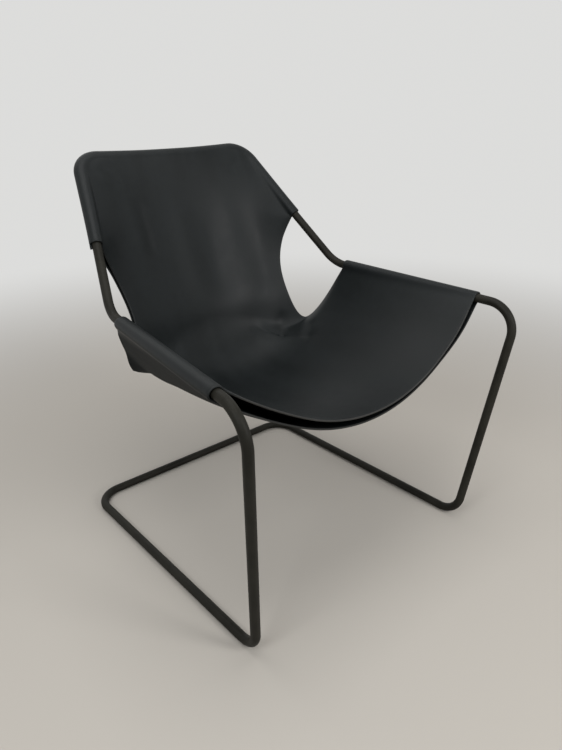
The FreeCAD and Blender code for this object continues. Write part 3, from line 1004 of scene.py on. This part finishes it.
# Each sheet as it was cut: widest across the seat, longest down the middle, and its flat area
cuts = [
    {"sheet": frontSheet, "node": "sling_front_sheet", "size": (0.90, 1.04), "area": 0.66},
    {"sheet": rearSheet, "node": "sling_rear_sheet", "size": (0.86, 1.03), "area": 0.65},
]
for cut in cuts:
    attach(cut["sheet"], "root")
    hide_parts(cut["node"])


# Stage: pale floor, soft light and the camera. The floor fades into the backdrop between two distances.

studio = {
    "floorColour": (0.55, 0.515, 0.465, 1),
    "backdrop": (0.72, 0.72, 0.71, 1),
    "floorSize": 30.0,
    "floorRoughness": 0.8,
    "floorPolish": 0.2,
    "fade": (0.75, 3.0),
    "worldLight": 0.38,
}
panels = [
    {"name": "ceiling_panel", "place": (-0.2, -0.1, 2.5), "aim": (-0.2, 0, 0),
     "size": (1.4, 1.4), "power": 16},
    {"name": "left_window", "place": (-2.2, -0.95, 2.2), "aim": (0, 0, 0.5),
     "size": (1.1, 1.1), "power": 22, "colour": (0.95, 0.98, 1.0)},
    {"name": "front_panel", "place": (0.5, -2.45, 1.65), "aim": (0.1, 0.2, 0.6),
     "size": (0.6, 1.2), "power": 26},
    {"name": "rear_panel", "place": (0.1, 2.0, 2.3), "aim": (0, 0, 0.5),
     "size": (1.8, 0.7), "power": 5},
    {"name": "camera_panel", "place": (-0.9, -2.1, 2.2), "aim": (0, 0, 0.5),
     "size": (1.2, 1.2), "power": 5},
]

# Camera of the photo: angles in degrees, focal length in pixels of the picture's long side
photoView = {
    "place": (-0.8296, -0.9967, 0.9276),
    "yaw": 40.99,
    "pitch": -23.58,
    "roll": -0.58,
    "focalPixels": 625.6,
    "longSide": 750,
    "sensorWidth": 36,
}


def seenDirectly(finish):
    # 1 for rays that show the backdrop: from the camera, from a reflection or through glass
    seen = [finish.add("ShaderNodeLightPath", output=name)
            for name in ("Is Camera Ray", "Is Glossy Ray", "Is Transmission Ray")]
    return seen[0].math("MAXIMUM", seen[0].math("MAXIMUM", seen[0], seen[1]), seen[2])


def paleFloor():
    # a flat floor that goes over into the backdrop by distance
    finish = Finish("pale_floor", Base_Color=studio["floorColour"], Roughness=studio["floorRoughness"],
                    Specular_IOR_Level=studio["floorPolish"])
    away = finish.add("ShaderNodeVectorMath", {"operation": "LENGTH"}, {0: finish.place()}, output="Value")
    far = finish.stepped(away, *studio["fade"]) * seenDirectly(finish)
    glow = finish.add("ShaderNodeEmission", {}, {"Color": studio["backdrop"], "Strength": 1.0})
    near = Wire(finish, finish.shader.outputs[0])
    both = finish.add("ShaderNodeMixShader", {}, {0: far, 1: near, 2: glow})
    finish.put(finish.tree.nodes["Material Output"].inputs["Surface"], both)
    size = studio["floorSize"]
    corners = [(-size, -size, 0), (size, -size, 0), (size, size, 0), (-size, size, 0)]
    floor = meshPiece("floor", corners, [(0, 1, 2, 3)], finish.material)


def placed(thing, right, up, back, place):
    # object of a light or a camera, turned to its three axes
    turn = np.eye(4)
    turn[:3] = np.stack([right, up, back, place], axis=1)
    holder = bpy.data.objects.new(thing.name, thing)
    holder.matrix_world = Matrix(turn)
    bpy.context.scene.collection.objects.link(holder)
    return holder


def areaLight(name, place, aim, size, power, colour=(1, 1, 1)):
    light = bpy.data.lights.new(name, "AREA")
    light.shape = "RECTANGLE"
    light.size, light.size_y = size
    light.energy = power
    light.color = colour
    back = unit(np.array(place) - np.array(aim))
    right = unit(np.cross((0, 0, 1), back))
    placed(light, right, np.cross(back, right), back, place)


class Surround(Finish):
    # the world's own nodes, under the same methods
    def __init__(self):
        world = bpy.data.worlds.new("studio")
        bpy.context.scene.world = world
        world.use_nodes = True
        self.tree = world.node_tree
        self.shader = self.tree.nodes["Background"]


def paleSurround():
    # the backdrop colour where it is seen, and an even light on everything else
    surround = Surround()
    seen = seenDirectly(surround)
    light = studio["worldLight"]
    surround.feed(Color=surround.between(seen, (light, light, light, 1), studio["backdrop"]), Strength=1.0)


def photoCamera():
    yaw, pitch, roll = (math.radians(photoView[name]) for name in ("yaw", "pitch", "roll"))
    ahead = np.array([math.sin(yaw) * math.cos(pitch), math.cos(yaw) * math.cos(pitch), math.sin(pitch)])
    right = np.array([math.cos(yaw), -math.sin(yaw), 0])
    up = np.cross(right, ahead)
    camera = bpy.data.cameras.new("photo_camera")
    camera.sensor_width = photoView["sensorWidth"]
    camera.lens = photoView["focalPixels"] * camera.sensor_width / photoView["longSide"]
    rolledRight = right * math.cos(roll) + up * math.sin(roll)
    rolledUp = up * math.cos(roll) - right * math.sin(roll)
    place = np.array(photoView["place"]) + shift
    bpy.context.scene.camera = placed(camera, rolledRight, rolledUp, -ahead, place)


paleFloor()
paleSurround()
for panel in panels:
    areaLight(**panel)
photoCamera()
bpy.context.scene.view_settings.view_transform = "Standard"
print("stage ready")
